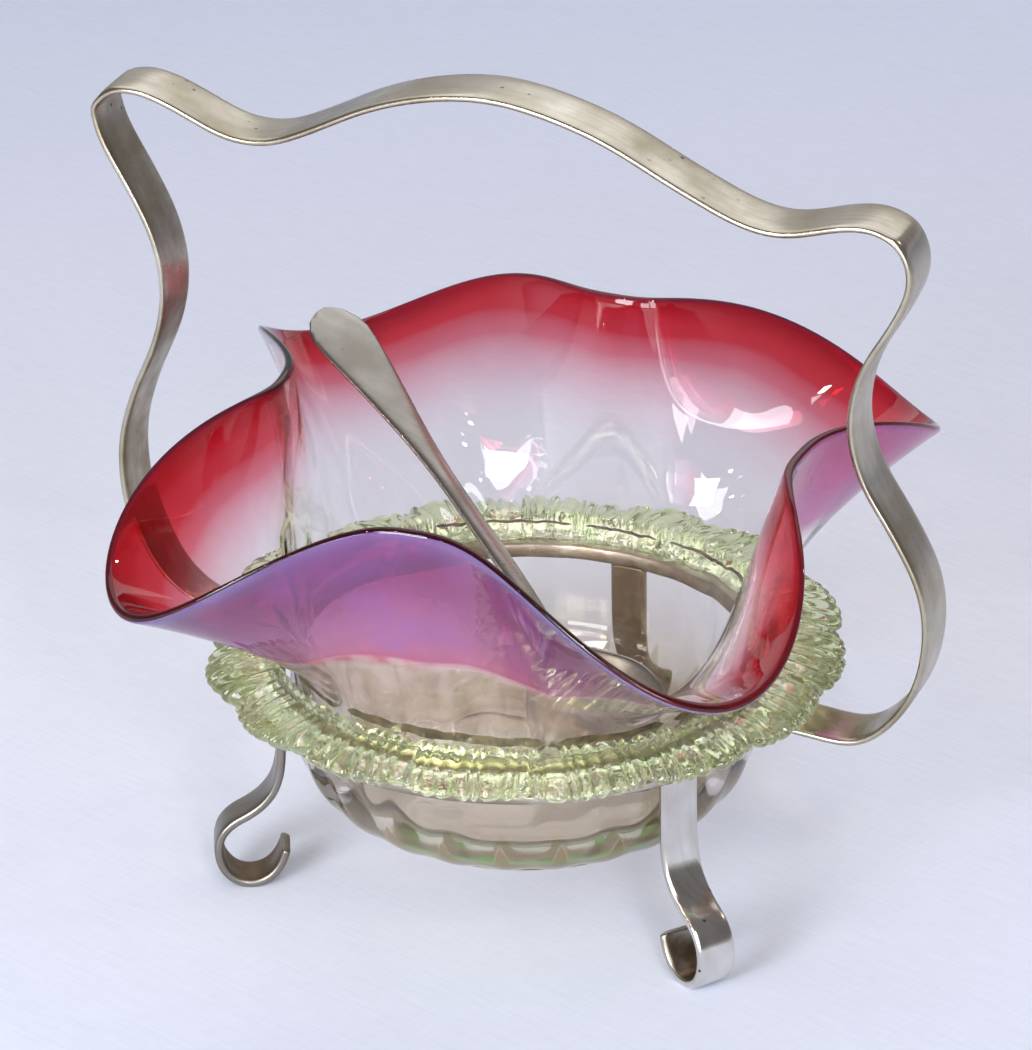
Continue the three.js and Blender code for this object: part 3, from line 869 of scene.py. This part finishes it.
def lobe_edges(turn_share, chance):
    """The frill's inner and outer radius at each step round it, and how far through its
    lobe the step is."""
    phase = (turn_share * LOBES) % 1
    index = (turn_share * LOBES).astype(int)
    size = chance.uniform(*LOBE_SIZES_MM, LOBES)[index] * MM
    scallop = SCALLOP * (1 - np.sqrt(np.abs(np.sin(math.pi * phase))))
    inner = body_radius + FRILL_GAP + GROOVE * (1 - bridge_cover(TURN * turn_share))
    return inner, collar_reach - scallop + size * np.sin(math.pi * phase), phase


def rib_ridges(turn_share, chance):
    """How high each step stands over the ribs' mean level, and the size of its rib."""
    ribs = LOBES * RIBS_PER_LOBE
    jitter = 0.2 * np.sin(37 * TURN * turn_share) + 0.12 * np.sin(61 * TURN * turn_share + 1)
    phase = turn_share * ribs + jitter
    size = chance.uniform(*RIB_SIZES, ribs)[np.floor(phase).astype(int) % ribs]
    return np.abs(np.sin(math.pi * phase)) ** RIB_ROUNDNESS - RIB_MEAN, size


def frill_sections(inner, outer, phase):
    """The frill's section at each step round it, tilted with its lobe, without ribs."""
    out, up = catmull(FRILL_SHARES, SECTION_STEPS, closed=True).T
    span = np.where(out < 0, (crest_reach - inner)[:, None], (outer - crest_reach)[:, None])
    radius = crest_reach + out * span
    tilt = (phase - 0.5)[:, None] * smoothstep(0.15, 0.9, out) * smoothstep(0.1, 0.5, up)
    height = collar_seat + up * (collar_top - collar_seat) + LOBE_TILT * tilt
    return np.stack([radius, height], axis=-1)


def frill():
    steps = LOBES * RIBS_PER_LOBE * STEPS_PER_RIB
    turn_share = np.arange(steps) / steps
    chance = np.random.default_rng(5)
    sections = frill_sections(*lobe_edges(turn_share, chance))
    ridge, rib_size = rib_ridges(turn_share, chance)
    rib_share = catmull([(s, 0) for s in RIB_SHARES], SECTION_STEPS, closed=True)[:, 0]
    push = RIB_HEIGHT * (ridge * rib_size)[:, None] * rib_share
    sections = sections - section_normals(sections) * push[..., None]
    angles = np.broadcast_to((TURN * turn_share)[:, None], push.shape)
    grid = turned(angles, sections[..., 0], sections[..., 1])
    wobble = np.array([noise.noise_vector(Vector(p) * WOBBLES_PER_METRE) for p in grid.reshape(-1, 3)])
    grid = grid + wobble.reshape(grid.shape) * rib_share[:, None] * WOBBLE_MM * MM
    obj = grid_piece("frilled_collar", grid, True, "dish")
    # Painted shade in the valleys between the ribs
    set_attribute(obj, "valley_shade", smoothstep(0.1, 0.75, -ridge)[:, None] * rib_share)
    obj.data.materials.append(green_frill())
    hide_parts("frill_collar")


# The metal pieces

JOIN_ANGLE = math.radians(60)
CREASE_ANGLE = math.radians(30)
RING_CREASE = 0.6
STRIP_CREASE = 0.35
SPOON_CREASE = 0.1
ROUND_LEVELS = 2
SHORT_EDGE = 0.6 * MM
SCROLL_HEIGHT = 16 * MM
SCROLL_STAIN = 1.4

# Patina in bends as tight as `radius`, and painted shade on faces that look at the axis and on
# undersides
RING_TARNISH_AND_SHADE = {"radius": 3 * MM, "inward": 0.6, "downward": 0.3}
HANDLE_TARNISH_AND_SHADE = {"radius": 14 * MM, "inward": 0.4, "downward": 0.45}
LEG_TARNISH_AND_SHADE = {"radius": 14 * MM, "inward": 0.9, "downward": 0.0}
SPOON_TARNISH_AND_SHADE = {"radius": 14 * MM, "inward": 0.0, "downward": 0.2}
SOLDER_TARNISH = 0.4

# The rear leg's browner, darker plate is patina and painted shade
LEG_FINISHES = {"rear": "shaded_brown_leg_plate", "left": "dark_leg_plate", "right": "leg_plate"}
SOLDERS = ["leg_rear", "leg_left", "leg_right", "handle_right", "handle_left"]


def smooth_piece(node, name, body, crease, shape=None):
    """A rounder copy of a CAD piece: its triangles joined to quads and subdivided."""
    bm = cad_bmesh(node)
    bmesh.ops.join_triangles(
        bm, faces=bm.faces, angle_face_threshold=JOIN_ANGLE, angle_shape_threshold=JOIN_ANGLE,
    )
    if shape:
        shape(bm)
    bmesh.ops.recalc_face_normals(bm, faces=bm.faces)
    layer = bm.edges.layers.float.new("crease_edge")
    for edge in bm.edges:
        if len(edge.link_faces) == 2 and edge.calc_face_angle(0) > CREASE_ANGLE:
            edge[layer] = crease
    obj = new_piece(name, mesh_from(bm, name), body)
    subdivide = obj.modifiers.new("round", "SUBSURF")
    subdivide.levels = ROUND_LEVELS
    subdivide.render_levels = ROUND_LEVELS
    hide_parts(node)
    return obj


SPOON_END_ROUND = 9.35 * MM
SPOON_END_CUTS = (0.25 * MM, 0.7 * MM, 1.3 * MM, 3.3 * MM, 5.6 * MM, 7.6 * MM)
SPOON_END_LENGTH = 16 * MM
SPOON_TIP_REACH = 1 * MM
ON_CUT = 1e-7


def round_end(bm):
    """Extra rings near the end of the spoon's stem, as wide as a half round."""
    pts = points("preserve_spoon")
    tip = pts[pts[:, 2].argmax()]
    away = np.linalg.norm(pts - tip, axis=1)
    along = tip - pts[(away > SPOON_END_LENGTH / 2) & (away < SPOON_END_LENGTH)].mean(axis=0)
    along = Vector(along / np.linalg.norm(along))
    across = Vector((0, 0, 1)).cross(along).normalized()
    middle = float(np.dot(pts[away < SPOON_TIP_REACH], np.array(across)).mean())
    half = np.abs(pts[away < SPOON_END_LENGTH] @ np.array(across) - middle).max()
    for down in SPOON_END_CUTS:
        cut = bmesh.ops.bisect_plane(
            bm, geom=bm.verts[:] + bm.edges[:] + bm.faces[:], dist=ON_CUT,
            plane_co=Vector(tip) - along * down, plane_no=along,
        )["geom_cut"]
        ring = [item for item in cut if isinstance(item, bmesh.types.BMVert)]
        now = max(abs(vert.co.dot(across) - middle) for vert in ring)
        target = half * math.sqrt(1 - (1 - down / SPOON_END_ROUND) ** 2)
        for vert in ring:
            vert.co += across * (vert.co.dot(across) - middle) * (target / now - 1)


def hollowness(obj, radius):
    """How hollow the surface is at each point, 1 where it bends inwards as
    tightly as `radius`."""
    mesh = obj.data
    total = np.zeros(len(mesh.vertices))
    count = np.zeros(len(mesh.vertices))
    for edge in mesh.edges:
        a, b = edge.vertices
        run = mesh.vertices[b].co - mesh.vertices[a].co
        if run.length < SHORT_EDGE:
            continue
        for here, way in ((a, run), (b, -run)):
            normal = mesh.vertices[here].normal
            total[here] += 2 * normal.dot(way) / way.length_squared
            count[here] += 1
    return np.clip(total / np.maximum(count, 1) * radius, 0, 1)


def add_tarnish_and_shade(obj, radius, inward, downward):
    values = hollowness(obj, radius)
    for i, vertex in enumerate(obj.data.vertices):
        to_axis = Vector((axis_x - vertex.co.x, axis_y - vertex.co.y, 0)).normalized()
        # Painted shade: browner on faces that look at the axis and on undersides
        values[i] += inward * max(0.0, vertex.normal.dot(to_axis))
        values[i] += downward * max(0.0, -vertex.normal.z)
    set_attribute(obj, "tarnish_and_shade", np.clip(values, 0, 1))


def stain_scroll(leg):
    """Brown patina on the faces that look at the middle of the foot's scroll."""
    mesh = leg.data
    pts = np.array([vertex.co for vertex in mesh.vertices])
    foot = pts[pts[:, 2] < SCROLL_HEIGHT]
    middle = Vector((foot.min(axis=0) + foot.max(axis=0)) / 2)
    layer = mesh.attributes["tarnish_and_shade"].data
    for vertex, value in zip(mesh.vertices, layer):
        if vertex.co.z > SCROLL_HEIGHT:
            continue
        inward = vertex.normal.dot((middle - vertex.co).normalized())
        value.value = min(1.0, max(value.value, SCROLL_STAIN * inward))


def stand_piece(node, name, crease, tarnish_and_shade, finish):
    piece = smooth_piece(node, name, "stand", crease)
    add_tarnish_and_shade(piece, **tarnish_and_shade)
    piece.data.materials.append(finish)
    return piece


LUMP_SIZE = 0.25 * MM
LUMPS_PER_METRE = 700
SOLDER_CUTS = 5
SOLDER_SMOOTHINGS = 3


def solder_blob(node, finish):
    """A CAD fillet with a lumpy, rounded skin."""
    bm = cad_bmesh(node)
    bmesh.ops.subdivide_edges(bm, edges=bm.edges, cuts=SOLDER_CUTS, use_grid_fill=True)
    for _ in range(SOLDER_SMOOTHINGS):
        bmesh.ops.smooth_vert(
            bm, verts=bm.verts, factor=0.5, use_axis_x=True, use_axis_y=True, use_axis_z=True,
        )
    for vert in bm.verts:
        vert.co += LUMP_SIZE * noise.noise_vector(vert.co * LUMPS_PER_METRE)
    name = f"{node}_blob"
    obj = new_piece(name, mesh_from(bm, name), "stand")
    set_attribute(obj, "tarnish_and_shade", np.full(len(obj.data.vertices), SOLDER_TARNISH))
    obj.data.materials.append(finish)
    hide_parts(node)


def metalwork():
    finishes = {name: plate(name) for name in PLATES}
    stand_piece("support_ring", "ring_band", RING_CREASE, RING_TARNISH_AND_SHADE, finishes["aged_plate"])
    stand_piece("carrying_handle", "bent_handle", STRIP_CREASE, HANDLE_TARNISH_AND_SHADE, finishes["aged_plate"])
    for side, finish in LEG_FINISHES.items():
        name = f"scroll_leg_{side}"
        leg = stand_piece(f"leg_{side}", name, STRIP_CREASE, LEG_TARNISH_AND_SHADE, finishes[finish])
        stain_scroll(leg)
    for joint in SOLDERS:
        solder_blob(f"solder_{joint}", finishes["solder_plate"])
    spoon = smooth_piece(
        "preserve_spoon", "loose_spoon", "spoon", SPOON_CREASE, shape=round_end,
    )
    add_tarnish_and_shade(spoon, **SPOON_TARNISH_AND_SHADE)
    spoon.data.materials.append(finishes["spoon_plate"])


# Camera

CAMERA_PITCH = math.radians(26.82)
CAMERA_ROLL = math.radians(-1.03)
CAMERA_PLACE = (384.13 * MM, -945.35 * MM, 592.4 * MM)

# Lens and sensor in millimetres, and how far the camera sees, in metres
CAMERA_LENS = 201.3
CAMERA_SENSOR = 36
CAMERA_FAR = 20


def camera():
    data = bpy.data.cameras.new("camera")
    data.lens = CAMERA_LENS
    data.sensor_width = CAMERA_SENSOR
    data.clip_end = CAMERA_FAR
    obj = place_object("camera", data)
    level = math.cos(CAMERA_PITCH)
    forward = Vector((LEVEL_AWAY[0] * level, LEVEL_AWAY[1] * level, -math.sin(CAMERA_PITCH)))
    right = Vector((math.cos(CAMERA_AZIMUTH), math.sin(CAMERA_AZIMUTH), 0))
    up = right.cross(forward)
    rolled_right = math.cos(CAMERA_ROLL) * right + math.sin(CAMERA_ROLL) * up
    rolled_up = -math.sin(CAMERA_ROLL) * right + math.cos(CAMERA_ROLL) * up
    turn = Matrix((rolled_right, rolled_up, -forward)).transposed().to_4x4()
    place = Vector(CAMERA_PLACE) + Vector((axis_x, axis_y, 0))
    obj.matrix_world = Matrix.Translation(place) @ turn
    bpy.context.scene.camera = obj


# Floor

FLOOR_HALF = 6.0
FLOOR_DROP = 0.02 * MM
# Painted light on the cloth: brighter and bluer near the camera's side, dimmer away from it
FLOOR_LIGHT_STOPS = [
    (0.0, (0.88, 0.93, 1.0)), (0.28, (0.76, 0.8, 0.95)), (0.5, (0.74, 0.76, 0.86)),
    (1.0, (0.68, 0.72, 0.9)),
]
FLOOR_LIGHT_START = -0.3
FLOOR_LIGHT_END = 0.55

# The weave: threads a metre, their contrast and their turn
THREAD_TURN = math.radians(-19)
THREADS = ((1100, 0.024, THREAD_TURN), (1500, 0.014, THREAD_TURN + math.pi / 2))


def cloth_floor():
    """Pale bluish cloth with a faint weave, stage and not part of the dish, with painted light:
    brighter and bluer towards the camera's side.
    """
    material, tree = new_material("pale_floor")
    away = distance_away(tree, object_place(tree))
    colour = ramp(tree, spread(tree, away, FLOOR_LIGHT_START, FLOOR_LIGHT_END, 0, 1), FLOOR_LIGHT_STOPS)
    light = spread(tree, grain(tree, 3.5, 3), 0.3, 0.7, 0.97, 1.03)
    for scale, contrast, turn in THREADS:
        thread = grain(tree, scale, 1, longer=(12, 1, 1), turn=turn)
        thread = spread(tree, thread, 0.25, 0.75, 1 - contrast, 1 + contrast)
        light = maths(tree, "MULTIPLY", light, thread)
    colour = add(tree, "ShaderNodeVectorMath", {0: colour, "Scale": light}, operation="SCALE")
    shader = add(tree, "ShaderNodeBsdfPrincipled", {
        "Base Color": colour.outputs[0], "Roughness": 0.95, "Specular IOR Level": 0.1,
    })
    add(tree, "ShaderNodeOutputMaterial", {"Surface": shader.outputs[0]})
    return material


def floor():
    mesh = bpy.data.meshes.new("floor")
    corners = [(-1, -1), (1, -1), (1, 1), (-1, 1)]
    mesh.from_pydata([(FLOOR_HALF * x, FLOOR_HALF * y, 0) for x, y in corners], [], [(0, 1, 2, 3)])
    obj = place_object("floor", mesh)
    obj.location.z = -FLOOR_DROP
    mesh.materials.append(cloth_floor())


# Lamps and the room's light

LAMP_TARGET = (0, 0, 60 * MM)
SKY = (0.93, 0.96, 1.0)
BULB = (1.0, 0.86, 0.66)

# Each window: azimuth and elevation in degrees with its distance, its size, watts and colour
WINDOWS = {
    "window_left": ((-34, 20, 1.6), (0.6, 1.0), 28, (0.9, 0.95, 1.0)),
    "window_high": ((12, 26, 1.6), (0.2, 1.45), 9, SKY),
    "window_low": ((0, 5, 1.6), (0.4, 0.2), 2.5, SKY),
    "sky_back": ((172, 55, 1.8), (2.2, 1.6), 12.5, SKY),
}
CEILING_AZIMUTHS = (-58, -44, -17, 19, 108)
CEILING_ELEVATION = 40
CEILING_STAGGER = 9
CEILING_DISTANCE = 1.7
BULB_SIZE = (0.04, 0.06)
BULB_WATTS = 1.2

ROOM_STOPS = [
    (0.0, (0.66, 0.7, 0.8)), (0.5, (0.66, 0.69, 0.77)), (0.58, (0.56, 0.56, 0.58)),
    (0.8, (0.52, 0.51, 0.5)), (1.0, (0.42, 0.41, 0.4)),
]
ROOM_DIM = (0.19, 0.18, 0.185, 1)
ROOM_STRENGTH = 0.94


def from_camera_side(azimuth_deg, elevation_deg, distance):
    """A place seen from the object: azimuth 0 is the camera's side, positive to its right."""
    angle = FRONT_ANGLE + math.radians(azimuth_deg)
    level = distance * math.cos(math.radians(elevation_deg))
    return (
        level * math.cos(angle), level * math.sin(angle),
        distance * math.sin(math.radians(elevation_deg)),
    )


def lamp(name, place, size, watts, colour):
    data = bpy.data.lights.new(name, "AREA")
    data.shape = "RECTANGLE"
    data.size, data.size_y = size
    data.energy = watts
    data.color = colour
    obj = place_object(name, data)
    obj.location = place
    aim = Vector(LAMP_TARGET) - Vector(place)
    obj.rotation_euler = aim.to_track_quat("-Z", "Y").to_euler()


def lights():
    for name, (place, size, watts, colour) in WINDOWS.items():
        lamp(name, from_camera_side(*place), size, watts, colour)
    for i, azimuth in enumerate(CEILING_AZIMUTHS):
        elevation = CEILING_ELEVATION + CEILING_STAGGER * (i % 2)
        place = from_camera_side(azimuth, elevation, CEILING_DISTANCE)
        lamp(f"ceiling_lamp_{i}", place, BULB_SIZE, BULB_WATTS, BULB)


def world():
    """A room: pale low down and behind the dish, dim above and on the camera's side."""
    room = bpy.data.worlds.new("room")
    bpy.context.scene.world = room
    room.use_nodes = True
    tree = room.node_tree
    tree.nodes.clear()
    place = add(tree, "ShaderNodeTexCoord").outputs["Generated"]
    up = add(tree, "ShaderNodeSeparateXYZ", {0: place}).outputs["Z"]
    level = ramp(tree, spread(tree, up, -1, 1, 0, 1), ROOM_STOPS)
    behind = spread(tree, distance_away(tree, place), 0.5, 0.88, 0, 1)
    above = spread(tree, up, -0.06, 0.16, 0, 1)
    dim = maths(tree, "MULTIPLY", above, maths(tree, "SUBTRACT", 1.0, behind), clamp=True)
    colour = mix_colour(tree, dim, level, ROOM_DIM)
    back = add(tree, "ShaderNodeBackground", {"Color": colour, "Strength": ROOM_STRENGTH})
    add(tree, "ShaderNodeOutputWorld", {"Surface": back.outputs[0]})


glass_dish()
frill()
metalwork()
floor()
camera()
world()
lights()
bpy.context.scene.view_settings.view_transform = "Standard"
